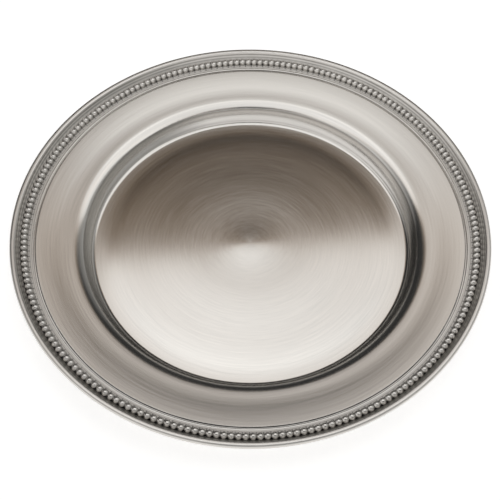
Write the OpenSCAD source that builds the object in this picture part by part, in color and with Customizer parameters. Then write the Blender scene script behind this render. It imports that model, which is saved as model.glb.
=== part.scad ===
// Charger plate: a spun sheet-metal pan with a beaded border and a rolled lip.
// Every ring is drawn as a section in the half plane right of the Z axis and spun about Z.
// Units are millimetres. The origin is under the centre of the floor, and +Z is up.

/* [Overall] */
// Diameter across the rolled lip
plate_d = 330; // [310:1:360]

/* [Pan] */
// Thickness of the pan's sheet
pan_sheet = 0.8; // [0.5:0.1:1.2]
// Diameter of the flat floor
floor_d = 218; // [190:1:224]
// Radius of the small cove between the floor and the wall
foot_cove_r = 3.4; // [2.5:0.1:9]
// Slope at the top of the small cove, in degrees
foot_cove_end = 66; // [60:1:75]
// Radius of the tall cove that makes the wall
wall_cove_r = 18; // [12:0.5:24]
// Slope at the bottom of the wall, in degrees
wall_start = 49; // [45:1:55]
// Slope at the top of the wall, in degrees
wall_end = 80; // [70:1:85]
// Radius of the rounded shoulder above the wall
shoulder_r = 11.5; // [8:0.5:16]
// Slope of the shoulder at the edge of the wall, in degrees
shoulder_start = 43; // [30:1:45]
// Slope of the flange beside the shoulder, in degrees
flange_start = 7.8; // [4:0.1:9]
// Slope of the flange halfway out, where it is steepest, in degrees
flange_middle = 10.6; // [9:0.1:18]
// Slope of the flange beside the border, in degrees
flange_end = 7.6; // [4:0.1:18]
// Width of the groove between the flange and the border
groove_w = 1.2; // [0.6:0.1:2]

/* [Border] */
// Thickness of the rim hoop's sheet
hoop_sheet = 0.8; // [0.5:0.1:1]
// Width of the fillet band
fillet_w = 2.6; // [2:0.1:3.6]
// Height of the fillet band's flat ledge
fillet_h = 0.45; // [0.3:0.05:0.8]
// Width of the rounded reed along the fillet band's inner edge
reed_w = 1.3; // [0.8:0.1:1.8]
// Height of the reed above the ledge
reed_h = 0.3; // [0.1:0.05:0.4]
// Radius of a bead
bead_r = 2.45; // [2.45:0.05:3.2]
// Distance from bead to bead round the ring
bead_pitch = 4.49; // [4:0.01:4.8]
// Height of a bead's centre above the hoop's foot
bead_lift = 2.2; // [0:0.1:2.3]
// Distance from the foot of the cove in to the middle of the beads
bead_inset = 2.2; // [1.5:0.1:3]
// Gap between the bead wire and the fillet band
border_gap = 1.15; // [0.05:0.05:1.5]
// Radius of the cove between the beads and the lip
rim_cove_r = 6.4; // [5:0.1:8]
// Turn of that cove, in degrees
rim_cove_turn = 61; // [50:1:80]
// Slope at the top of that cove, where the lip begins, in degrees
rim_cove_end = 90; // [80:1:95]

/* [Lip] */
// Outer radius of the rolled lip
lip_r = 1.9; // [1.3:0.1:2.2]
// Turn of the curl round the edge wire, in degrees
lip_curl = 280; // [200:5:290]
// Clearance between the edge wire and the curl
wire_gap = 0.05; // [0.02:0.01:0.1]

/* [Hidden] */
// Largest turn of one straight piece of an arc, and the fewest pieces in an arc
arc_step = 6;
arc_least = 6;
$fn = 96;
// A bead is small, so its sphere takes fewer sides
bead_fn = 24;

// Radii of the border, from the lip inwards
lip_ring_r = plate_d / 2 - lip_r;
rim_cove_top_r = lip_ring_r - lip_r * sin(rim_cove_end);
rim_cove_start = rim_cove_end - rim_cove_turn;
rim_cove_foot_r = rim_cove_top_r - rim_cove_r * (sin(rim_cove_end) - sin(rim_cove_start));
bead_ring_r = rim_cove_foot_r - bead_inset;
fillet_out_r = bead_ring_r - bead_r - border_gap;
fillet_in_r = fillet_out_r - fillet_w;
flange_out_r = fillet_in_r - groove_w;
bead_count = round(2 * PI * bead_ring_r / bead_pitch);
wire_r = lip_r - hoop_sheet - wire_gap;

// Arc that starts at point p and turns from slope s0 to slope s1.
// A positive radius curves upwards and a negative one downwards.
function arc_from(p, r, s0, s1) =
  let (n = max(arc_least, ceil(abs(s1 - s0) / arc_step)))
  [for (i = [0:n]) let (s = s0 + (s1 - s0) * i / n) p + r * [sin(s) - sin(s0), cos(s0) - cos(s)]];

// Arc that starts at point p, spans a given run outwards and turns from slope s0 to slope s1.
// It is straight where the two slopes are the same.
function arc_over(p, run, s0, s1) =
  [for (i = [0:arc_least])
    let (t = i / arc_least, s = asin(sin(s0) + (sin(s1) - sin(s0)) * t))
    p + run * t * [1, tan((s0 + s) / 2)]];

// The last point of a path, and the path without its first point
function end_of(path) = path[len(path) - 1];
function rest_of(path) = [for (i = [1:len(path) - 1]) path[i]];
function reversed(path) = [for (i = [len(path) - 1:-1:0]) path[i]];

// Direction square to the step from a to b, on its right-hand side
function right_of(a, b) = let (d = b - a) [d[1], -d[0]] / norm(d);

// The path moved sideways by t, with mitred corners: the other face of a sheet
function other_face(path, t) =
  let (last = len(path) - 1)
  [for (i = [0:last])
    let (
      m = right_of(path[max(i - 1, 0)], path[max(i, 1)]),
      n = right_of(path[min(i, last - 1)], path[min(i + 1, last)])
    )
    path[i] + t * (m + n) / (1 + m * n)];

// Upper face of the pan, from its centre out to the flange
floor_edge = [floor_d / 2, pan_sheet];
foot_cove = arc_from(floor_edge, foot_cove_r, 0, foot_cove_end);
wall = arc_from(end_of(foot_cove), wall_cove_r, wall_start, wall_end);
// The shoulder takes at most half of the room between the wall and the groove
rim_run = flange_out_r - end_of(wall)[0];
shoulder_fit_r = min(shoulder_r, rim_run / 2 / (sin(shoulder_start) - sin(flange_start)));
shoulder = arc_from(end_of(wall), -shoulder_fit_r, shoulder_start, flange_start);
// The flange is hollow over its inner half and rounded over its outer half
flange_half = (flange_out_r - end_of(shoulder)[0]) / 2;
flange_in = arc_over(end_of(shoulder), flange_half, flange_start, flange_middle);
flange_out = arc_over(end_of(flange_in), flange_half, flange_middle, flange_end);
flange_top = end_of(flange_out)[1];

// The hoop's foot lies in a recess of its own thickness, so it is flush with the flange
seat_top = flange_top - hoop_sheet;
pan_face = concat(
  [[0, pan_sheet]], foot_cove, rest_of(wall), rest_of(shoulder), rest_of(flange_in), rest_of(flange_out),
  [[flange_out_r, seat_top], [rim_cove_foot_r, seat_top]]
);

// Upper face of the rim hoop, from its foot over the lip to the end of the curl
rim_cove = arc_from([rim_cove_foot_r, flange_top], rim_cove_r, rim_cove_start, rim_cove_end);
lip = arc_from(end_of(rim_cove), -lip_r, rim_cove_end, rim_cove_end - lip_curl);
lip_ring_z = end_of(rim_cove)[1] - lip_r * cos(rim_cove_end);
hoop_face = concat([[fillet_in_r, flange_top]], rim_cove, rest_of(lip));

// Radius of the arc across the top of the reed
reed_r = (pow(reed_w / 2, 2) + pow(reed_h, 2)) / (2 * reed_h);
reed_turn = asin(reed_w / 2 / reed_r);
reed_foot = [fillet_in_r, flange_top + fillet_h];
reed = arc_from(reed_foot, -reed_r, reed_turn, -reed_turn);

// A sheet of thickness t, spun about Z, given by the path of its upper face
module spun_sheet(face, t) {
  rotate_extrude() polygon(concat(face, reversed(other_face(face, t))));
}

// Floor, wall, flange and the recessed seat of the border, in one sheet
module pan() {
  color("silver") spun_sheet(pan_face, pan_sheet);
}

// Foot, cove and rolled lip, in one sheet that lies in the pan's recess
module rim_hoop() {
  color("gainsboro") spun_sheet(hoop_face, hoop_sheet);
}

// Flat wire with a reed along its inner edge, on the hoop's foot
module fillet_band() {
  color("lightgray") rotate_extrude() polygon(concat(
    reed,
    [[fillet_out_r, flange_top + fillet_h], [fillet_out_r, flange_top], [fillet_in_r, flange_top]]
  ));
}

// String of beads that run into each other, cut flat where it lies on the hoop's foot
module bead_wire() {
  color("whitesmoke") intersection() {
    for (i = [0:bead_count - 1])
      rotate([0, 0, i * 360 / bead_count]) translate([bead_ring_r, 0, flange_top + bead_lift])
        sphere(r = bead_r, $fn = bead_fn);
    translate([0, 0, flange_top]) cylinder(r = rim_cove_top_r, h = 2 * bead_r + bead_lift);
  }
}

// Round wire inside the rolled lip
module edge_wire() {
  color("darkgray") rotate_extrude() translate([lip_ring_r, lip_ring_z]) circle(r = wire_r);
}

pan();
rim_hoop();
fillet_band();
bead_wire();
edge_wire();
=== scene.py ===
# %% [markdown]
# A beaded charger plate
#
# A charger is the large plate that stays under the dinner plate. This one is a dish of thin metal that was
# spun on a lathe, brushed in circles, and given a border of beads and a rolled lip. Its creases are darkened,
# and its groove, gaps and bead necks carry painted shade. The solid model of the plate is loaded first.
# Every piece below is a finer surface that stands where the solid is.

# %% Load the frame
import math
import bpy
import numpy as np
from mathutils import Matrix, Vector


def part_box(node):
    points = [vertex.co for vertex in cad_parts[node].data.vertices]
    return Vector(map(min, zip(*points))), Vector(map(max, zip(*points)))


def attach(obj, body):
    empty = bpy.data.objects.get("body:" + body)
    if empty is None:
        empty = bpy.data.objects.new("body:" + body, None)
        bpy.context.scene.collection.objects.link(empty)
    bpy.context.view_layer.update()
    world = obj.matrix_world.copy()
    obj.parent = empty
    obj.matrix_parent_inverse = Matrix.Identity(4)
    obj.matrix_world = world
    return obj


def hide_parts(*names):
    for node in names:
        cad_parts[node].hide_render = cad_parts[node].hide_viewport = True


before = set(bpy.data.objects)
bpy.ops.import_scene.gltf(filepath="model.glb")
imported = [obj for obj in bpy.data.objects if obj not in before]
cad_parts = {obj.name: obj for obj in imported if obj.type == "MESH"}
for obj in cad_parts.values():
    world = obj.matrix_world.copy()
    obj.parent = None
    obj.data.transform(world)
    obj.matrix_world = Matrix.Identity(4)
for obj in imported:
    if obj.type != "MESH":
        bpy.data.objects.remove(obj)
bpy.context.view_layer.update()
mm = 0.001

# %% [markdown]
# The rings of the plate
#
# Everything on the plate is a ring about one axis, so a few radii and heights place it all. They are read
# from the boxes of the solid pieces, which keeps the surfaces and the solids in step. What a box can't
# tell, such as the width of a groove, is written down. Lengths are metres, as Blender wants them, and
# slopes are degrees from level.

# %% Radii and heights
GROOVE_W = 1.2 * mm
FILLET_W = 2.6 * mm
BEAD_PITCH = 4.49 * mm
BEAD_LIFT = 2.2 * mm

wire_low, wire_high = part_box("edge_wire")
wire_r = (wire_high.z - wire_low.z) / 2
lip_ring_r = wire_high.x - wire_r
lip_ring_z = (wire_high.z + wire_low.z) / 2
lip_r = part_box("rim_hoop")[1].x - lip_ring_r
cove_foot_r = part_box("pan")[1].x
band_low, band_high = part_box("fillet_band")
flange_top = band_low.z
fillet_out_r = band_high.x
fillet_in_r = fillet_out_r - FILLET_W
flange_out_r = fillet_in_r - GROOVE_W
bead_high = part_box("bead_wire")[1]
bead_r = bead_high.z - flange_top - BEAD_LIFT
bead_ring_r = bead_high.x - bead_r
bead_count = round(2 * math.pi * bead_ring_r / BEAD_PITCH)
print("lip ring", round(lip_ring_r / mm, 2), "bead ring", round(bead_ring_r / mm, 2), "beads", bead_count)

# %% [markdown]
# Drawing a section
#
# A spinner thinks of a plate as one line, the section, that is carried round the axis. The line is a chain
# of arcs: each begins where the last one ended, and turns from one slope to another. Giving an arc by its
# slopes keeps the chain smooth where two slopes agree and leaves a crease where they differ, as on the wall
# of this plate.

# %% Arcs in the half plane of radius and height
ARC_STEPS = 40
SAME_PLACE = 1e-9


def arc(start, radius, slopes, steps=ARC_STEPS):
    """Arc that leaves start at the first slope and ends at the second, in degrees from level.

    A point is start + radius * (sin s - sin s0, cos s0 - cos s), where s0 is the first slope.
    A positive radius bends up and a negative one down.
    """
    s = np.radians(np.linspace(slopes[0], slopes[1], steps))
    bend = np.stack([np.sin(s) - np.sin(s[0]), np.cos(s[0]) - np.cos(s)], axis=1)
    return np.asarray(start) + radius * bend


def span_radius(width, slopes):
    """Radius of the arc that spans a width from one slope to another: width / (sin s1 - sin s0)."""
    first, last = (math.sin(math.radians(s)) for s in slopes)
    return width / (last - first)


def chain(*stretches):
    """Joins stretches of a section end to end, and drops the points that two of them share."""
    whole = np.concatenate([np.atleast_2d(s) for s in stretches])
    apart = np.linalg.norm(np.diff(whole, axis=0), axis=1) > SAME_PLACE
    return whole[np.concatenate([[True], apart])]


print("a quarter arc of radius 10 ends at", arc((0, 0), 10, (0, 90))[-1].round(3))

# %% [markdown]
# From a line to a sheet, with worn corners
#
# Sheet metal has two faces. The second is the first moved sideways by the thickness, with mitred corners.
# No corner on a polished plate is a knife edge, so each face is then softened: every point becomes a
# weighted mean of the points near it, which leaves arcs alone and rounds the creases. Last, points are
# dealt out so that bends get most of them.

# %% The other face of a sheet
def other_face(path, thickness):
    """The path moved to its right by the thickness.

    A point p goes to p + thickness * (m + n) / (1 + m . n), for m and n of length 1, square to the two steps
    that meet at p.
    """
    steps = np.diff(path, axis=0)
    right = np.stack([steps[:, 1], -steps[:, 0]], axis=1) / np.linalg.norm(steps, axis=1)[:, None]
    before = np.concatenate([right[:1], right])
    after = np.concatenate([right, right[-1:]])
    return path + thickness * (before + after) / (1 + np.sum(before * after, axis=1))[:, None]


level_path = np.array([(0.0, 0.0), (1.0, 0.0)])
print("the other face of a level path starts at", other_face(level_path, 1.0)[0])

# %% Rounding, and dealing out points
SOFT_STEPS = 8
SHARP_BEND = 4 * mm


def walked(path):
    """Distance walked along a path, from 0 at its first point."""
    return np.concatenate([[0], np.cumsum(np.linalg.norm(np.diff(path, axis=0), axis=1))])


def picked(path, measure, at):
    """Points of a path where a rising measure along it reaches the given values."""
    return np.stack([np.interp(at, measure, path[:, k]) for k in (0, 1)], axis=1)


def softened(path, reach):
    """The path with rounded corners.

    Each point is the mean of those within reach, weighted by a raised cosine, 1 + cos.
    """
    distance = walked(path)
    count = int(distance[-1] / reach * SOFT_STEPS) + 2
    fine = picked(path, distance, np.linspace(0, distance[-1], count))
    weights = 1 + np.cos(np.linspace(-np.pi, np.pi, 2 * SOFT_STEPS + 1))
    weights = weights / weights.sum()
    padded = np.pad(fine, ((SOFT_STEPS, SOFT_STEPS), (0, 0)), mode="reflect", reflect_type="odd")
    return np.stack([np.convolve(padded[:, k], weights, mode="valid") for k in (0, 1)], axis=1)


def dealt(path, count, bend=SHARP_BEND):
    """Count points of a path, spaced evenly by distance plus the given length for each radian of turn."""
    steps = np.diff(path, axis=0)
    heading = np.unwrap(np.arctan2(steps[:, 1], steps[:, 0]))
    turned = np.concatenate([[0], np.cumsum(np.abs(np.diff(heading)))])
    effort = walked(path) + bend * np.append(turned, turned[-1])
    return picked(path, effort, np.linspace(0, effort[-1], count))


# %% [markdown]
# Spinning the section
#
# The section is a row of points, and spinning makes a grid: one row of the grid for each point, one column
# for each turn step. A grid is easy to turn into faces, because each cell is a quad. The columns close into
# rings. The rows close too, unless the section starts and ends on the axis, as the pan's does: then each
# end is a single pole with a fan of triangles. The grid also gives a UV map for free: u runs along the
# section and v runs round the plate.

# %% Grid to faces
ON_AXIS = 1e-7


def grid_faces(points):
    """Faces of a grid with rows along a section and columns round the plate.

    Cell (i, j) is the quad (i, j), (i+1, j), (i+1, j+1), (i, j+1), which faces up where the section runs
    outwards. Returns the faces, the UV of their corners, the points to keep, and the distance along the
    section.
    """
    rows, columns = points.shape[:2]
    poles = bool(np.hypot(points[0, 0, 0], points[0, 0, 1]) < ON_AXIS)
    number = np.arange(rows * columns).reshape(rows, columns)
    keep = np.arange(rows * columns)
    whole = [0, 1, 2, 3]
    parts = [(slice(None), whole)]
    if poles:
        number = number - (columns - 1)
        number[0] = 0
        number[-1] = number[-2, -1] + 1
        keep = np.append(0, np.arange(columns, (rows - 1) * columns + 1))
        parts = [(slice(1, -1), whole), (slice(0, 1), [0, 1, 2]), (slice(-1, None), [0, 1, 3])]

    i, j = np.meshgrid(np.arange(rows - poles), np.arange(columns), indexing="ij")
    row = np.stack([i, i + 1, i + 1, i], axis=-1)
    column = np.stack([j, j, j + 1, j + 1], axis=-1)
    cell = number[row % rows, column % columns]
    line = points[:, 0]
    along = walked(line if poles else np.concatenate([line, line[:1]]))
    uv = np.stack([along[row] / along[-1], column / columns], axis=-1)

    faces = []
    corners = []
    for which, ends in parts:
        faces += cell[which][:, :, ends].reshape(-1, len(ends)).tolist()
        corners.append(uv[which][:, :, ends].reshape(-1, 2))
    return faces, np.concatenate(corners), keep, along[:rows]


# %% Faces to a piece
cm3 = (10 * mm) ** 3


def ring_mesh(name, points, darkening):
    """Mesh of a grid.

    Each point keeps two values: its distance along the section, and its darkening, from 0 to 1, which is
    partly painted shade.
    """
    faces, corners, keep, along = grid_faces(points)
    mesh = bpy.data.meshes.new(name)
    mesh.from_pydata(points.reshape(-1, 3)[keep], [], faces)
    layer = mesh.uv_layers.new(name="section")
    layer.data.foreach_set("uv", corners.astype(np.float32).ravel())
    for label, value in (("along", along[:, None]), ("darkening", darkening)):
        spread = np.broadcast_to(value, points.shape[:2]).reshape(-1)[keep]
        mesh.attributes.new(label, "FLOAT", "POINT").data.foreach_set("value", spread.astype(np.float32))
    mesh.shade_smooth()
    mesh.validate()
    return mesh


def enclosed(mesh):
    """Volume inside a closed mesh: the sum of (a x b) . c / 6 over its triangles a, b, c.

    It is positive where the faces look outwards.
    """
    mesh.calc_loop_triangles()
    corner = np.empty(len(mesh.loop_triangles) * 3, np.int32)
    mesh.loop_triangles.foreach_get("vertices", corner)
    place = np.empty(len(mesh.vertices) * 3, np.float32)
    mesh.vertices.foreach_get("co", place)
    tri = place.reshape(-1, 3).astype(float)[corner.reshape(-1, 3)]
    return np.sum(np.cross(tri[:, 0], tri[:, 1]) * tri[:, 2]) / 6


def placed(name, points, darkening, crease=None):
    """Object of a grid, at the origin.

    Edges that turn by more than the crease, in degrees, are shaded sharp.
    """
    mesh = ring_mesh(name, points, darkening)
    if crease is not None:
        mesh.set_sharp_from_angle(angle=math.radians(crease))
    piece = bpy.data.objects.new(name, mesh)
    bpy.context.scene.collection.objects.link(piece)
    volume = enclosed(mesh)
    print(name, len(mesh.loop_triangles), "triangles around", round(volume / cm3, 2), "cm3")
    return piece


def spun(section, columns):
    """Grid of a section carried round Z: the point (r, z) at turn a is (r cos a, r sin a, z)."""
    a = np.linspace(0, 2 * np.pi, columns, endpoint=False)
    r, z = section[:, :1], section[:, 1:]
    return np.stack([r * np.cos(a), r * np.sin(a), z + 0 * a], axis=-1)


# %% [markdown]
# The pan
#
# The pan is one spun sheet: a floor, a small cove, a hollow wall above it, a round shoulder and a long
# dished flange. Two creases mark where the spinner changed tools, at the foot of the wall and at its top.
# At the outer edge the sheet steps down by its own thickness, so that the border can lie in it, and an open
# strip of that step is left as the dark groove. A spun floor is never quite flat: faint waves run round it,
# and its middle stands a little proud. Bright metal shows slopes, not heights, so the waves and the flange
# are given as slopes at a few places, and the heights are summed up from them.

# %% Floor, wall and shoulder of the pan
SHEET = 0.8 * mm
FLOOR_R = 109 * mm
FLOOR_STEPS = 240
WAVE_R = np.array([0, 5, 11, 18, 27, 37, 50, 62, 72, 80, 90, 97.5, 100.5, 103, 106.5, 109]) * mm
WAVE_SLOPES = (0, -1.6, -2.4, -1.5, -0.4, 0.2, -0.2, -0.5, -0.1, 0.3, -0.6, -2, -0.4, 1.4, 2.8, 4)
FOOT_COVE_R = 3.4 * mm
FOOT_COVE_END = 66
WALL_R = 18 * mm
WALL_SLOPES = (49, 80)
SHOULDER_R = 11.5 * mm
SHOULDER_START = 43
FLANGE_SLOPES = (8.6, 7.8, 10.0, 9.6, 9.3)


def risen(run, slopes):
    """Height gained along a run.

    It is the running sum of each step times the mean tangent of the slopes at its two ends.
    """
    rise = np.tan(np.radians(slopes))
    return np.concatenate([[0], np.cumsum((rise[1:] + rise[:-1]) / 2 * np.diff(run))])


floor_run = np.linspace(0, FLOOR_R, FLOOR_STEPS)
wave = risen(floor_run, np.interp(floor_run, WAVE_R, WAVE_SLOPES))
waved = np.stack([floor_run, SHEET + wave - wave[-1]], axis=1)
foot_cove = arc((FLOOR_R, SHEET), FOOT_COVE_R, (0, FOOT_COVE_END))
wall = arc(foot_cove[-1], WALL_R, WALL_SLOPES)
shoulder = arc(wall[-1], -SHOULDER_R, (SHOULDER_START, FLANGE_SLOPES[0]))
print("the middle of the floor stands", round((wave[0] - wave[-1]) / mm, 2), "mm above its edge")

# %% Flange and seat of the pan
FLANGE_STEPS = 60
FLANGE_SPOTS = (0, 0.12, 0.45, 0.8, 1)

flange_in_r, flange_in_z = shoulder[-1]
out = np.linspace(0, 1, FLANGE_STEPS)
flange_run = flange_in_r + out * (flange_out_r - flange_in_r)
flange_rise = risen(flange_run, np.interp(out, FLANGE_SPOTS, FLANGE_SLOPES))
short = flange_top - flange_in_z - flange_rise[-1]
flange = np.stack([flange_run, flange_in_z + flange_rise + out * short], axis=1)
seat_z = flange[-1, 1] - SHEET
seat = ((flange_out_r, seat_z), (cove_foot_r, seat_z))
print("the flange was eased by", round(short / mm, 3), "mm to meet the border")

# %% Both faces of the pan
PAN_SOFT = 0.35 * mm
PAN_TOP_POINTS = 240
UNDER_POINTS = 90

pan_top = chain(waved, foot_cove, wall, shoulder, flange, seat)
pan_under = other_face(chain((0, SHEET), foot_cove, wall, shoulder, flange, seat), SHEET)
pan_top = dealt(softened(pan_top, PAN_SOFT), PAN_TOP_POINTS)
pan_under = dealt(softened(pan_under, PAN_SOFT), UNDER_POINTS)
pan_section = np.concatenate([pan_top, pan_under[::-1]])
pan_section[[0, -1], 0] = 0
print("the pan's section has", len(pan_section), "points")

# %% [markdown]
# Where the plate is darkened
#
# The colour is darkened along creases and in hollows. Most of them are rings, so a dark line is a bell
# curve across a ring, with a depth and a width. On the pan the lines run along both creases of the wall and
# on the flange's edge, and the groove itself is painted shade, darkest at its inner side.

# %% Darkening and surface of the pan
TURNS = 288
FOOT_LINE = (0.15, 0.5 * mm)
BROW_LINE = (0.35, 0.35 * mm)
FLANGE_LINE = (0.4, 0.3 * mm)
GROOVE_LINE = (0.95, 0.4 * mm)
GROOVE_LEAST = 0.05
GROOVE_MIDDLE = 0.05 * mm
GROOVE_IN = 0.2 * mm
GROOVE_DOWN = 0.15 * mm


def beside(value, centre, width):
    """Bell curve: 1 where the value is at the centre, fading over the width."""
    return np.exp(-(((value - centre) / width) ** 2))


def darkened_along(value, centre, line):
    """Darkening along a line that is given by its depth and its width: the depth times a bell curve."""
    depth, width = line
    return depth * beside(value, centre, width)


pan_r, pan_z = pan_section.T
pan_upper = np.arange(len(pan_r)) < PAN_TOP_POINTS
in_groove = pan_upper & (pan_r > flange_out_r - GROOVE_IN) & (pan_z < flange_top - GROOVE_DOWN)
creases = darkened_along(pan_r, foot_cove[-1, 0], FOOT_LINE) + darkened_along(pan_r, wall[-1, 0], BROW_LINE)
creases = creases + darkened_along(pan_r, flange_out_r, FLANGE_LINE)
# The groove is painted shade, darkest at its inner side
groove = GROOVE_LEAST + darkened_along(pan_r, flange_out_r + GROOVE_MIDDLE, GROOVE_LINE)
pan_darkening = np.clip(np.where(in_groove, groove, creases), 0, 1)[:, None]
pan = placed("plate_pan", spun(pan_section, TURNS), pan_darkening)

# %% [markdown]
# The rim hoop
#
# The border is built on a hoop of the same sheet. Its flat foot lies in the pan's step, then it rises as a
# cove and curls over a wire as the lip. Its under face is that plain bend. The upper face is fuller, as on
# a worn and polished border: the cove starts higher, because the room behind the beads is filled, and the
# lip has a nearly level top with a rounded inner side. A scored line runs round the outside of the lip,
# where the curl was rolled down. It is cut into the section itself, so that it shows from any side.

# %% Plain bend of the hoop
RIM_COVE_SLOPES = (29, 90)
LIP_CURL = 280
CURL_STEPS = 140

rim_cove_r = span_radius(lip_ring_r - lip_r - cove_foot_r, RIM_COVE_SLOPES)
rim_cove = arc((cove_foot_r, flange_top), rim_cove_r, RIM_COVE_SLOPES)
curl_end = RIM_COVE_SLOPES[1] - LIP_CURL
lip = arc(rim_cove[-1], -lip_r, (RIM_COVE_SLOPES[1], curl_end), CURL_STEPS)
hoop_under = other_face(chain((fillet_in_r, flange_top), rim_cove, lip), SHEET)
print("the plain cove has a radius of", round(rim_cove_r / mm, 2), "mm")

# %% Upper face of the hoop
CROWN_SLOPES = (7, 11)
CROWN_W = 0.85 * mm
LIP_STEPS = 110
LIP_SIDE_R = 1.7 * mm
LIP_SIDE_SLOPE = 65
ROOT_GAP = 0.1 * mm
ROOT_RISE = 2.3 * mm
ROOT_SLOPE = 42
HOOP_SOFT = 0.3 * mm

tilt = math.radians(CROWN_SLOPES[0])
lip_start = (lip_ring_r - lip_r * math.sin(tilt), lip_ring_z + lip_r * math.cos(tilt))
rolled = arc(lip_start, -lip_r, (CROWN_SLOPES[0], curl_end), LIP_STEPS)
crown = arc(lip_start, -span_radius(CROWN_W, CROWN_SLOPES), CROWN_SLOPES)[::-1]
lip_side = arc(crown[0], -LIP_SIDE_R, (CROWN_SLOPES[1], LIP_SIDE_SLOPE))[::-1]
root = (cove_foot_r + ROOT_GAP, flange_top + ROOT_RISE)
cove_w, cove_h = lip_side[0] - root
cove_slopes = (ROOT_SLOPE, 2 * math.degrees(math.atan2(cove_h, cove_w)) - ROOT_SLOPE)
raised_cove = arc(root, span_radius(cove_w, cove_slopes), cove_slopes)
foot = ((fillet_in_r, flange_top), (cove_foot_r, flange_top))
hoop_top = softened(chain(foot, raised_cove, lip_side, crown, rolled), HOOP_SOFT)
print("the cove rises from", ROOT_SLOPE, "to", round(cove_slopes[1], 1), "degrees")

# %% Scored line round the lip
LINE_DEPTH = 0.07 * mm
LINE_HALF_W = 0.16 * mm
LINE_TURN = 30
LIP_SKIN = 0.05 * mm
HOOP_TOP_POINTS = 190
HOOP_BEND = 2 * mm


def about_lip(path):
    """Offset of a path from the middle of the lip, and its distance round the lip from the scored line.

    The distance is the lip's radius times the turn from straight up, less the turn of the line.
    """
    offset = path - (lip_ring_r, lip_ring_z)
    roll = np.degrees(np.arctan2(offset[:, 0], offset[:, 1]))
    return offset, np.radians(roll - LINE_TURN) * lip_r


offset, from_line = about_lip(hoop_top)
outside = np.hypot(offset[:, 0], offset[:, 1]) > lip_r - LIP_SKIN
score = LINE_DEPTH * np.where(outside, beside(from_line, 0, LINE_HALF_W), 0)
hoop_top = dealt(hoop_top - offset / lip_r * score[:, None], HOOP_TOP_POINTS, HOOP_BEND)
hoop_under = dealt(softened(hoop_under, HOOP_SOFT), UNDER_POINTS)
hoop_section = np.concatenate([hoop_top, hoop_under[::-1]])
print("the scored line is", round(score.max() / mm, 3), "mm deep")

# %% Darkening and surface of the rim hoop
ROOT_LINE = (0.35, 0.8 * mm)
LOW_COVE_LINE = (0.45, 0.5 * mm)
LOW_COVE_LINE_H = 3.9 * mm
HIGH_COVE_LINE = (0.5, 0.5 * mm)
HIGH_COVE_LINE_H = 5.6 * mm
COVE_LINES_OUT = 0.2 * mm
SCORE_LINE = (0.3, 1.3 * LINE_HALF_W)
GAP_FLOOR_PAINTED_SHADE = 0.05
UNDER_DARKENING = 0.15

hoop_r, hoop_z = hoop_section.T
from_line = about_lip(hoop_section)[1]
hoop_upper = np.arange(len(hoop_r)) < HOOP_TOP_POINTS
# Painted shade at the root of the cove under the beads, and on the foot inside the bead ring, in the gap to
# the fillet
root_and_gap_painted_shade = darkened_along(hoop_r, cove_foot_r, ROOT_LINE) + GAP_FLOOR_PAINTED_SHADE * (hoop_r < bead_ring_r)
# Two darker rings run round the cove at set heights
low_cove_line = darkened_along(hoop_z, flange_top + LOW_COVE_LINE_H, LOW_COVE_LINE)
high_cove_line = darkened_along(hoop_z, flange_top + HIGH_COVE_LINE_H, HIGH_COVE_LINE)
cove_lines = (low_cove_line + high_cove_line) * (hoop_r < lip_side[0, 0] + COVE_LINES_OUT)
# The scored line is darker, and the whole under face a little darker
score_darkening = darkened_along(from_line, 0, SCORE_LINE) * (hoop_r > lip_ring_r)
hoop_darkening = np.where(hoop_upper, root_and_gap_painted_shade + cove_lines + score_darkening, UNDER_DARKENING)
hoop = placed("plate_rim_hoop", spun(hoop_section, TURNS), np.clip(hoop_darkening, 0, 1)[:, None], crease=60)

# %% [markdown]
# The fillet band
#
# Between the groove and the beads lies a flat wire with a low rounded reed along its inner edge. Its top
# leans in towards the middle of the plate. It is only 2.6 mm wide, yet it gives the border its fine double
# line, so its section has every corner rounded.

# %% Section of the fillet band
FILLET_H = 0.3 * mm
FILLET_SOFT = 0.12 * mm
REED_W = 1.3 * mm
REED_H = 0.14 * mm
REED_STEPS = 24
LEDGE_TILT = 9.2
BAND_POINTS = 64
BAND_BEND = 1 * mm

ledge_rise = math.tan(math.radians(LEDGE_TILT))
reed_r = ((REED_W / 2) ** 2 + REED_H**2) / (2 * REED_H)
reed_turn = math.degrees(math.asin(REED_W / 2 / reed_r))
reed_slopes = (LEDGE_TILT + reed_turn, LEDGE_TILT - reed_turn)
reed = arc((fillet_in_r, flange_top + FILLET_H), -reed_r, reed_slopes, REED_STEPS)
reed_end_r, reed_end_z = reed[-1]
ledge_end_z = reed_end_z + (fillet_out_r - reed_end_r) * ledge_rise
ledge = ((fillet_out_r, ledge_end_z), (fillet_out_r, flange_top))
band_section = chain((fillet_in_r, flange_top), reed, ledge)
band_section = dealt(softened(band_section, FILLET_SOFT), BAND_POINTS, BAND_BEND)
print("the fillet stands", round((ledge_end_z - flange_top) / mm, 2), "mm high at its outer edge")

# %% Darkening and surface of the fillet band
REED_LINE = (0.4, 0.14 * mm)
EDGE_LINE = (0.5, 0.3 * mm)
LEDGE_DARKENING = 0.05
IN_SIDE_PAINTED_SHADE = 0.3
OUT_SIDE_PAINTED_SHADE = 1.0
SIDE_SHADE_H = 0.5 * FILLET_H
SIDE_FADE = 0.4 * FILLET_H

band_r, band_z = band_section.T
past_reed = band_r > reed_end_r
# Painted shade low on both sides of the band, by the groove and by the gap to the beads
low_down = np.clip((flange_top + SIDE_SHADE_H - band_z) / SIDE_FADE, 0, 1)
side_painted_shade = np.where(past_reed, OUT_SIDE_PAINTED_SHADE, IN_SIDE_PAINTED_SHADE) * low_down
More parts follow.
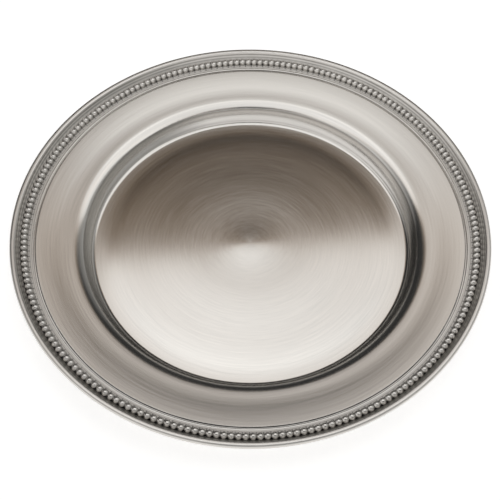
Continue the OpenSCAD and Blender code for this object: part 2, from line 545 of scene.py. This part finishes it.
# A darker line where the reed ends; the line along the outer edge is painted shade, by the gap to the beads
lines = darkened_along(band_r, reed_end_r, REED_LINE) + darkened_along(band_r, fillet_out_r, EDGE_LINE)
band_darkening = np.clip(lines + side_painted_shade + LEDGE_DARKENING * past_reed, 0, 1)[:, None]
band = placed("plate_fillet_band", spun(band_section, TURNS), band_darkening, crease=50)

# %% [markdown]
# The bead wire
#
# The beads are not loose balls: they are rolled from one wire, so each ball runs into the next at a neck. A
# bead is a sphere, and a plane through the plate's axis cuts a sphere in a circle. So the whole string is a
# grid again: for each turn step the circle's radius follows from how far that step is from the nearest
# bead's middle, and it is never less than the neck's. One step falls on each neck, which keeps the necks
# sharp. At its inner side the string has a skirt: it carries the fillet's ledge on to the beads and then
# runs straight up to them, with a line of painted shade along their feet. At its outer side the circles are
# cut where the string lies on the hoop.

# %% Circles of the bead wire
STEPS_PER_BEAD = 12
BEAD_ROWS = 24
NECK_R = 1.3 * mm
CLOSED = 0.996

step = np.arange(bead_count * STEPS_PER_BEAD)
turn = (step / STEPS_PER_BEAD - 0.5) * 2 * np.pi / bead_count
off_middle = ((step % STEPS_PER_BEAD) / STEPS_PER_BEAD - 0.5) * 2 * np.pi / bead_count
ball_r = np.sqrt(bead_r**2 - (bead_ring_r * np.sin(off_middle)) ** 2)
cut_r = np.maximum(ball_r, NECK_R)
middle = bead_ring_r * np.cos(off_middle)
# A circle that stays above the hoop is closed almost down to its lowest point
foot_turn = np.arcsin(np.minimum(BEAD_LIFT / cut_r, CLOSED))
across = np.linspace(1, 0, BEAD_ROWS)[:, None] * (np.pi + foot_turn) - foot_turn
print("the circles run from", round(cut_r.min() / mm, 2), "to", round(cut_r.max() / mm, 2), "mm in radius")

# %% Skirt of the bead wire
SKIRT_GAP = 0.1 * mm
FLARE_W = 0.15 * mm
FLARE_H = 0.3 * mm
FLARE_BEND = 0.3
FLANK_TOP = 0.75

flank = middle - cut_r
skirt_in = np.full_like(flank, fillet_out_r + SKIRT_GAP)
skirt_rho = np.stack([skirt_in, skirt_in, flank - FLARE_W, flank - FLARE_BEND * FLARE_W, flank])
ledge_z = ledge_end_z + (flank - FLARE_W - skirt_in) * ledge_rise
low_z, edge_z, high_z = (
    np.full_like(flank, z) for z in (flange_top, ledge_end_z, flange_top + FLANK_TOP * BEAD_LIFT)
)
skirt_z = np.stack([low_z, edge_z, ledge_z, ledge_z + FLARE_H, high_z])
print("the ledge goes on for", round((flank - skirt_in).min() / mm, 2), "mm or more")

# %% Painted shade and surface of the bead wire
SKIRT_PAINTED_SHADE = (0, 0, 0.45, 0.3, 0.05)
OUTER_FLANK_PAINTED_SHADE = 0.4
OUTER_FROM = 0.75
OUTER_FADE = 0.22
NECK_IN_PAINTED_SHADE = 0.7
NECK_OUT_PAINTED_SHADE = 0.6

bead_rho = np.concatenate([skirt_rho, middle + cut_r * np.cos(across)])
bead_z = np.concatenate([skirt_z, flange_top + BEAD_LIFT + cut_r * np.sin(across)])
bead_grid = np.stack([bead_rho * np.cos(turn), bead_rho * np.sin(turn), bead_z], axis=-1)

neck = (bead_r - ball_r) / (bead_r - ball_r.min())
inner = np.concatenate([np.ones_like(skirt_rho), 0.5 - 0.5 * np.cos(across)])
# Painted shade in the necks between the beads, deeper on their inner side
neck_painted_shade = NECK_IN_PAINTED_SHADE * inner * neck**2 + NECK_OUT_PAINTED_SHADE * (1 - inner) * neck**4
# Painted shade along the beads' feet, on the skirt
skirt_painted_shade = np.array(SKIRT_PAINTED_SHADE)[:, None] * np.ones_like(flank)
# Painted shade on the outer flank, where the beads face the cove, and black below it, where they sit on the
# hoop
outer_flank_painted_shade = OUTER_FLANK_PAINTED_SHADE * np.clip((np.cos(across) - OUTER_FROM) / OUTER_FADE, 0, 1) + (across < 0)
bead_painted_shade = np.clip(neck_painted_shade + np.concatenate([skirt_painted_shade, outer_flank_painted_shade]), 0, 1)
beads = placed("plate_bead_wire", bead_grid, bead_painted_shade, crease=35)

# %% [markdown]
# The edge wire
#
# The lip is curled round a plain drawn wire that stiffens the edge. It is hidden, and it still gets its own
# surface, because the plate may be looked at from below or cut open.

# %% Surface of the edge wire
WIRE_POINTS = 20
WIRE_DARKENING = 0.3

around = np.linspace(0, 2 * np.pi, WIRE_POINTS, endpoint=False)[::-1]
wire_section = np.stack([lip_ring_r + wire_r * np.cos(around), lip_ring_z + wire_r * np.sin(around)], axis=1)
wire = placed("plate_edge_wire", spun(wire_section, TURNS), np.full((WIRE_POINTS, 1), WIRE_DARKENING))

# %% [markdown]
# Small tools for shader nodes
#
# A material in Blender is a graph of nodes. A few helpers keep the graphs below short: one adds a node, one
# does a sum, one mixes two colours, and one makes a ramp. Each takes either plain numbers or the outputs of
# other nodes.

# %% Node helpers
def joined(tree, value, socket):
    """Sets a socket to a plain value, or links another node's output to it."""
    if isinstance(value, bpy.types.NodeSocket):
        tree.links.new(value, socket)
    else:
        socket.default_value = value


def add(tree, kind, inputs=None, **settings):
    """Adds a node of a kind, with its settings and its inputs by name or number."""
    node = tree.nodes.new(kind)
    for name, value in settings.items():
        setattr(node, name, value)
    for name, value in (inputs or {}).items():
        joined(tree, value, node.inputs[name])
    return node


def sum_of(tree, operation, a, b=0.0, clamp=False):
    """Output of a Math node on a and b."""
    return add(tree, "ShaderNodeMath", {0: a, 1: b}, operation=operation, use_clamp=clamp).outputs[0]


def ramp(tree, value, start, gain):
    """Output that is 0 up to the start and then rises to 1 by the gain: (value - start) * gain, from 0 to 1.

    With a negative gain it is 1 at first and falls to 0 at the start.
    """
    return sum_of(tree, "MULTIPLY", sum_of(tree, "SUBTRACT", value, start), gain, clamp=True)


def mixed(tree, share, a, b):
    """Output of a colour that is a where share is 0 and b where it is 1."""
    # A Mix node has its colours in sockets 6 and 7, and their mix in output 2
    return add(tree, "ShaderNodeMix", {0: share, 6: a, 7: b}, data_type="RGBA").outputs[2]


# %% [markdown]
# Brushed metal
#
# A brush that rests on a turning plate leaves fine lines along its circles. Across the lines the surface is
# rough and along them it is smooth, so a reflection is drawn out towards the middle of the plate: that is
# anisotropy, and its direction comes from the UV map, whose u runs across the lines. The lines themselves
# are a noise that is stretched round the plate: it changes fast with the distance along the section and
# slowly with the turn. The turn is given by the direction from the axis, which has no seam, instead of by
# an angle, which has one.

# %% Brush lines
LINE_BREAKS = 0.6


def brush_lines(tree, lines_per_m, turns, detail):
    """Noise that is long round the plate and fine across it, as one number from 0 to 1 about 0.5.

    It is read at the direction from the axis times turns, and at the distance along the section times
    lines_per_m.
    """
    place = add(tree, "ShaderNodeTexCoord").outputs["Object"]
    flat = add(tree, "ShaderNodeVectorMath", {0: place, 1: (1, 1, 0)}, operation="MULTIPLY").outputs[0]
    heading = add(tree, "ShaderNodeVectorMath", {0: flat}, operation="NORMALIZE").outputs[0]
    wide = add(tree, "ShaderNodeVectorMath", {0: heading, "Scale": turns}, operation="SCALE").outputs[0]
    along = add(tree, "ShaderNodeAttribute", attribute_name="along").outputs["Fac"]
    across = add(tree, "ShaderNodeCombineXYZ", {2: sum_of(tree, "MULTIPLY", along, lines_per_m)}).outputs[0]
    both = add(tree, "ShaderNodeVectorMath", {0: wide, 1: across}, operation="ADD").outputs[0]
    grain = {"Vector": both, "Scale": 1.0, "Detail": detail, "Roughness": LINE_BREAKS}
    return add(tree, "ShaderNodeTexNoise", grain).outputs[0]


# %% [markdown]
# Darkening in the finish
#
# Each point of a piece carries how dark its colour is made, from 0 to 1: darker lines along creases and
# rings, and painted shade in the groove, the gaps and between the beads. Broken up by a cloudy noise, that
# number mixes the bare metal with a warm black, and makes it duller. A finish is one function of a few
# numbers, and each piece calls it with its own.

# %% A silver finish
BARE_SILVER = (0.74, 0.716, 0.682, 1)
WARM_BLACK = (0.035, 0.031, 0.027, 1)
FINE_DETAIL = 3.0
BROAD_DETAIL = 2.0
BROADER = 3
LONGER = 2.5
CLOUDS = {"Scale": 60.0, "Detail": 3.0}
CLOUD_LIFT = 0.55
LINE_RAMP = (0.3, 2.5)
LINE_DULLS = 0.12
DARKENING_DULLS = 0.25


def silver(
    name, rough, drawn_out, lines_per_m, turns,
    bare=BARE_SILVER, line_tone=0.12, darkening_depth=1.0, relief=0.4e-6,
):
    """Metal with brush lines, and darkening that is partly painted shade.

    rough is the mean roughness and drawn_out the anisotropy. line_tone is how much the lines change the
    colour, darkening_depth how dark the darkened places get, and relief the height of the lines in metres.
    The lines are the mean of a fine and a broad noise. The colour goes from dull to bare metal by the lines,
    and then to black by the darkening, partly painted shade, times the clouds.
    """
    material = bpy.data.materials.new(name)
    material.use_nodes = True
    tree = material.node_tree
    shader = tree.nodes["Principled BSDF"]
    fine = brush_lines(tree, lines_per_m, turns, FINE_DETAIL)
    broad = brush_lines(tree, lines_per_m / BROADER, turns / LONGER, BROAD_DETAIL)
    place = add(tree, "ShaderNodeTexCoord").outputs["Object"]
    cloud = add(tree, "ShaderNodeTexNoise", {"Vector": place, **CLOUDS}).outputs[0]

    lines = sum_of(tree, "ADD", sum_of(tree, "MULTIPLY", fine, 0.5), sum_of(tree, "MULTIPLY", broad, 0.5))
    dull = tuple(c * (1 - line_tone) for c in bare[:3]) + (1,)
    metal = mixed(tree, ramp(tree, lines, *LINE_RAMP), dull, bare)
    # The darkening, partly painted shade, turns the metal towards warm black
    depth = add(tree, "ShaderNodeAttribute", attribute_name="darkening").outputs["Fac"]
    broken = sum_of(tree, "MULTIPLY", depth, sum_of(tree, "ADD", cloud, CLOUD_LIFT))
    dark = sum_of(tree, "MULTIPLY", broken, darkening_depth, clamp=True)
    joined(tree, mixed(tree, dark, metal, WARM_BLACK), shader.inputs["Base Color"])

    grain = sum_of(tree, "MULTIPLY", sum_of(tree, "SUBTRACT", lines, 0.5), LINE_DULLS)
    worn = sum_of(tree, "ADD", sum_of(tree, "MULTIPLY", dark, DARKENING_DULLS), rough)
    joined(tree, sum_of(tree, "ADD", worn, grain), shader.inputs["Roughness"])
    bump = add(tree, "ShaderNodeBump", {"Height": lines, "Strength": 1.0, "Distance": relief})
    joined(tree, bump.outputs[0], shader.inputs["Normal"])
    tangent = add(tree, "ShaderNodeTangent", direction_type="UV_MAP", uv_map="section")
    joined(tree, tangent.outputs[0], shader.inputs["Tangent"])
    shader.inputs["Metallic"].default_value = 1.0
    shader.inputs["Anisotropic"].default_value = drawn_out
    print(name, len(tree.nodes), "nodes")
    return material


# %% The finish of each piece
WIRE_GREY = (0.56, 0.55, 0.53, 1)

pan_finish = silver("brushed_pan", rough=0.168, drawn_out=0.67, lines_per_m=2600, turns=5, line_tone=0.14)
hoop_finish = silver("satin_hoop", rough=0.29, drawn_out=0.3, lines_per_m=3000, turns=10)
band_finish = silver("satin_fillet", rough=0.28, drawn_out=0.5, lines_per_m=4000, turns=12, darkening_depth=0.9)
bead_finish = silver("polished_beads", rough=0.28, drawn_out=0.0, lines_per_m=1500, turns=60, relief=1.0e-6)
wire_finish = silver(
    "drawn_wire", rough=0.4, drawn_out=0.3, lines_per_m=5000, turns=4,
    bare=WIRE_GREY, line_tone=0.15, darkening_depth=0.6,
)

# %% [markdown]
# Each surface takes the place of its solid
#
# The solids stay in the file for weight and contact. The surfaces above are what is seen, so each one says
# which solid it stands for and which body it moves with.

# %% Stand each piece in for its solid
for piece, node, slot, finish in (
    (pan, "pan", "pan_metal", pan_finish),
    (hoop, "rim_hoop", "hoop_metal", hoop_finish),
    (band, "fillet_band", "fillet_metal", band_finish),
    (beads, "bead_wire", "bead_metal", bead_finish),
    (wire, "edge_wire", "wire_metal", wire_finish),
):
    piece.data.materials.append(finish)
    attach(piece, "root")
    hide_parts(node)
    print(piece.name, "stands for", node)

# %% [markdown]
# The floor
#
# The plate stands on a plain white floor. The floor is an ordinary matt surface, so it takes the plate's
# shadow, and rays from the camera, mirror rays and rays through glass see some white added to it. That
# makes the background white without any more light on the plate, and the metal shows the same floor that
# the camera sees.

# %% White floor
FLOOR_HALF = 20.0
FLOOR_DROP = 0.3 * mm
PAPER = (0.8, 0.8, 0.8, 1)
PAPER_ROUGH = 0.9
PAPER_GLOW = 0.6
WHITE = (1, 1, 1, 1)

floor_mesh = bpy.data.meshes.new("studio_floor")
floor_corners = np.array([(-1, -1), (1, -1), (1, 1), (-1, 1)]) * FLOOR_HALF
floor_mesh.from_pydata(np.column_stack([floor_corners, np.full(4, -FLOOR_DROP)]), [], [(0, 1, 2, 3)])
floor = bpy.data.objects.new("studio_floor", floor_mesh)
bpy.context.scene.collection.objects.link(floor)

paper = bpy.data.materials.new("white_paper")
paper.use_nodes = True
tree = paper.node_tree
matt = tree.nodes["Principled BSDF"]
matt.inputs["Base Color"].default_value = PAPER
matt.inputs["Roughness"].default_value = PAPER_ROUGH
matt.inputs["Specular IOR Level"].default_value = 0.0
matt.inputs["Emission Color"].default_value = WHITE
rays = add(tree, "ShaderNodeLightPath").outputs
mirror = sum_of(tree, "MAXIMUM", rays["Is Glossy Ray"], rays["Is Transmission Ray"])
seen = sum_of(tree, "MAXIMUM", rays["Is Camera Ray"], mirror)
joined(tree, sum_of(tree, "MULTIPLY", seen, PAPER_GLOW), matt.inputs["Emission Strength"])
floor_mesh.materials.append(paper)
print("the floor is", 2 * FLOOR_HALF, "m square")

# %% [markdown]
# The soft box
#
# Bright metal has no look of its own: it shows the room. One large soft box hangs over the plate. Its back
# edge falls just where the floor of the plate mirrors it, which parts the floor into a light half and a
# dark half. That edge is soft and a little bent, so it is drawn by nodes inside a larger lamp: the glow
# fades out past a line that turns more on the right than on the left, and keeps a weak, warm tail behind
# it. It dims slowly towards the right, and it ends softly at the left, where the window of the room takes
# over.

# %% Lamp over the plate
BOX_Z = 0.68
BOX_W = 1.4
BOX_BACK = 0.62
BOX_FRONT = -0.25
BOX_RADIANCE = 1.06

lamp = bpy.data.lights.new("over_plate", "AREA")
lamp.shape = "RECTANGLE"
lamp.size, lamp.size_y = BOX_W, BOX_BACK - BOX_FRONT
# The power of an even lamp is its radiance times pi times its area
lamp.energy = BOX_RADIANCE * math.pi * BOX_W * (BOX_BACK - BOX_FRONT)
over = bpy.data.objects.new("over_plate", lamp)
bpy.context.scene.collection.objects.link(over)
# A lamp that isn't turned looks straight down
over.location = (0, (BOX_BACK + BOX_FRONT) / 2, BOX_Z)
print("the soft box gives", round(lamp.energy, 2), "W")

# %% Glow of the lamp
EDGE_Y = 0.4455
EDGE_SOFT = 0.05
EDGE_TURNS = (3.5, 10)
TAIL_W = 0.16
TAIL_GLOW = 0.15
TAIL_WARM = (1, 0.87, 0.75, 1)
DIM_PER_M = 0.4
GLOW_MOST = 1.03
LEFT_RAMP = (-0.55, 4.0)

lamp.use_nodes = True
tree = lamp.node_tree
spot = add(tree, "ShaderNodeSeparateXYZ", {0: add(tree, "ShaderNodeNewGeometry").outputs["Position"]}).outputs
left_turn, right_turn = (math.tan(math.radians(t)) for t in EDGE_TURNS)
right_part = sum_of(tree, "MULTIPLY", sum_of(tree, "MAXIMUM", spot[0], 0.0), right_turn - left_turn)
bent = sum_of(tree, "ADD", sum_of(tree, "MULTIPLY", spot[0], left_turn), right_part)
inside = sum_of(tree, "SUBTRACT", sum_of(tree, "ADD", bent, EDGE_Y), spot[1])
fade = sum_of(tree, "ADD", sum_of(tree, "DIVIDE", inside, EDGE_SOFT), 0.5, clamp=True)
tail = sum_of(tree, "ADD", sum_of(tree, "DIVIDE", inside, TAIL_W), 1.0, clamp=True)
glow = sum_of(tree, "MAXIMUM", fade, sum_of(tree, "MULTIPLY", tail, TAIL_GLOW))
glow = sum_of(tree, "MULTIPLY", glow, ramp(tree, spot[0], *LEFT_RAMP))
dimmer = sum_of(tree, "SUBTRACT", 1.0, sum_of(tree, "MULTIPLY", spot[0], DIM_PER_M))
dimmer = sum_of(tree, "MINIMUM", dimmer, GLOW_MOST)
emission = tree.nodes["Emission"].inputs
joined(tree, sum_of(tree, "MULTIPLY", glow, dimmer), emission["Strength"])
joined(tree, mixed(tree, fade, TAIL_WARM, WHITE), emission["Color"])
print("the soft box's glow takes", len(tree.nodes), "nodes")

# %% [markdown]
# The room
#
# The wall, the flange and the border each mirror another part of the room. The room is a world of soft
# fields by direction: a window at the front left, a pale card at the right, a warm band high up, a pale
# ceiling and a grey wall low down at the back, and a dark patch where the camera stands. A field is a ramp
# along one axis, or a product of two, and the fields are laid over each other in turn.

# %% A dim room
DIM = (0.03, 0.03, 0.03, 1)
WARM_BAND = (0.135, 0.09, 0.052, 1)
CEILING = (0.3, 0.3, 0.29, 1)
LOW_WALL = (0.13, 0.13, 0.127, 1)
CARD = (0.42, 0.42, 0.41, 1)
# Where each field starts along an axis, and how fast it rises or falls
BAND_FROM = (0.7, 10.0)
BAND_TO = (0.88, -15.0)
CEILING_FROM = (0.87, 25.0)
CEILING_BACK = (0.2, 8.0)
WALL_TO = (0.24, -8.0)
WALL_BACK = (0.65, 6.0)
CARD_FROM = (0.3, 2.0)

room = bpy.data.worlds.new("dim_room")
bpy.context.scene.world = room
room.use_nodes = True
tree = room.node_tree
view = add(tree, "ShaderNodeTexCoord").outputs["Generated"]
x, y, z = add(tree, "ShaderNodeSeparateXYZ", {0: view}).outputs
band_field = sum_of(tree, "MULTIPLY", ramp(tree, z, *BAND_FROM), ramp(tree, z, *BAND_TO))
ceiling_field = sum_of(tree, "MULTIPLY", ramp(tree, z, *CEILING_FROM), ramp(tree, y, *CEILING_BACK))
wall_field = sum_of(tree, "MULTIPLY", ramp(tree, z, *WALL_TO), ramp(tree, y, *WALL_BACK))
card_field = ramp(tree, x, *CARD_FROM)
tone = DIM
for field, colour in (
    (band_field, WARM_BAND),
    (ceiling_field, CEILING),
    (wall_field, LOW_WALL),
    (card_field, CARD),
):
    tone = mixed(tree, field, tone, colour)
print("the dim room takes", len(tree.nodes), "nodes")

# %% Window and camera in the room
PANE_LOW = (0.95, 0.94, 0.93, 1)
PANE_HIGH = (0.74, 0.74, 0.73, 1)
PANE_RAMP = (0.35, 2.9)
WINDOW_LEFT = -1.1
WINDOW_FRONT = -1.66
WINDOW_TOP = (0.83, -8.0)
LENS_AT = (0, -0.59, 0.807)
LENS_RAMP = (0.986, 120.0)
LENS_TONE = (0.05, 0.05, 0.05, 1)

left = sum_of(tree, "MULTIPLY", x, WINDOW_LEFT)
front = sum_of(tree, "MULTIPLY", y, WINDOW_FRONT)
facing = sum_of(tree, "ADD", left, front, clamp=True)
window = sum_of(tree, "MULTIPLY", facing, ramp(tree, z, *WINDOW_TOP))
pane = mixed(tree, ramp(tree, z, *PANE_RAMP), PANE_LOW, PANE_HIGH)
tone = mixed(tree, window, tone, pane)
towards = add(tree, "ShaderNodeVectorMath", {0: view, 1: LENS_AT}, operation="DOT_PRODUCT").outputs["Value"]
tone = mixed(tree, ramp(tree, towards, *LENS_RAMP), tone, LENS_TONE)
joined(tree, tone, tree.nodes["Background"].inputs["Color"])
bpy.context.scene.view_settings.view_transform = "Standard"
print("the whole room takes", len(tree.nodes), "nodes")

# %% [markdown]
# The camera
#
# The camera looks down at the plate from the front with a short telephoto lens. Its place and turn are
# written as a person would say them: where it stands, how far it looks down, and how far it leans. Its
# three axes follow.

# %% Camera at the photograph's angle
CAMERA_AT = Vector((0, -413.5, 616.26)) * mm
LOOK_DOWN = math.radians(56.47)
LOOK_RIGHT = math.radians(-0.03)
LEAN = math.radians(0.26)
LENS = 75.34

level_part = math.cos(LOOK_DOWN)
ahead = Vector((math.sin(LOOK_RIGHT) * level_part, math.cos(LOOK_RIGHT) * level_part, -math.sin(LOOK_DOWN)))
level = Vector((math.cos(LOOK_RIGHT), -math.sin(LOOK_RIGHT), 0))
side = math.cos(LEAN) * level + math.sin(LEAN) * level.cross(ahead)
axes = Matrix((side, side.cross(ahead), -ahead)).transposed().to_4x4()
camera_data = bpy.data.cameras.new("camera")
camera_data.lens = LENS
camera = bpy.data.objects.new("camera", camera_data)
bpy.context.scene.collection.objects.link(camera)
camera.matrix_world = Matrix.Translation(CAMERA_AT) @ axes
bpy.context.scene.camera = camera
print("the camera stands", round(CAMERA_AT.length / mm), "mm from the middle of the plate")
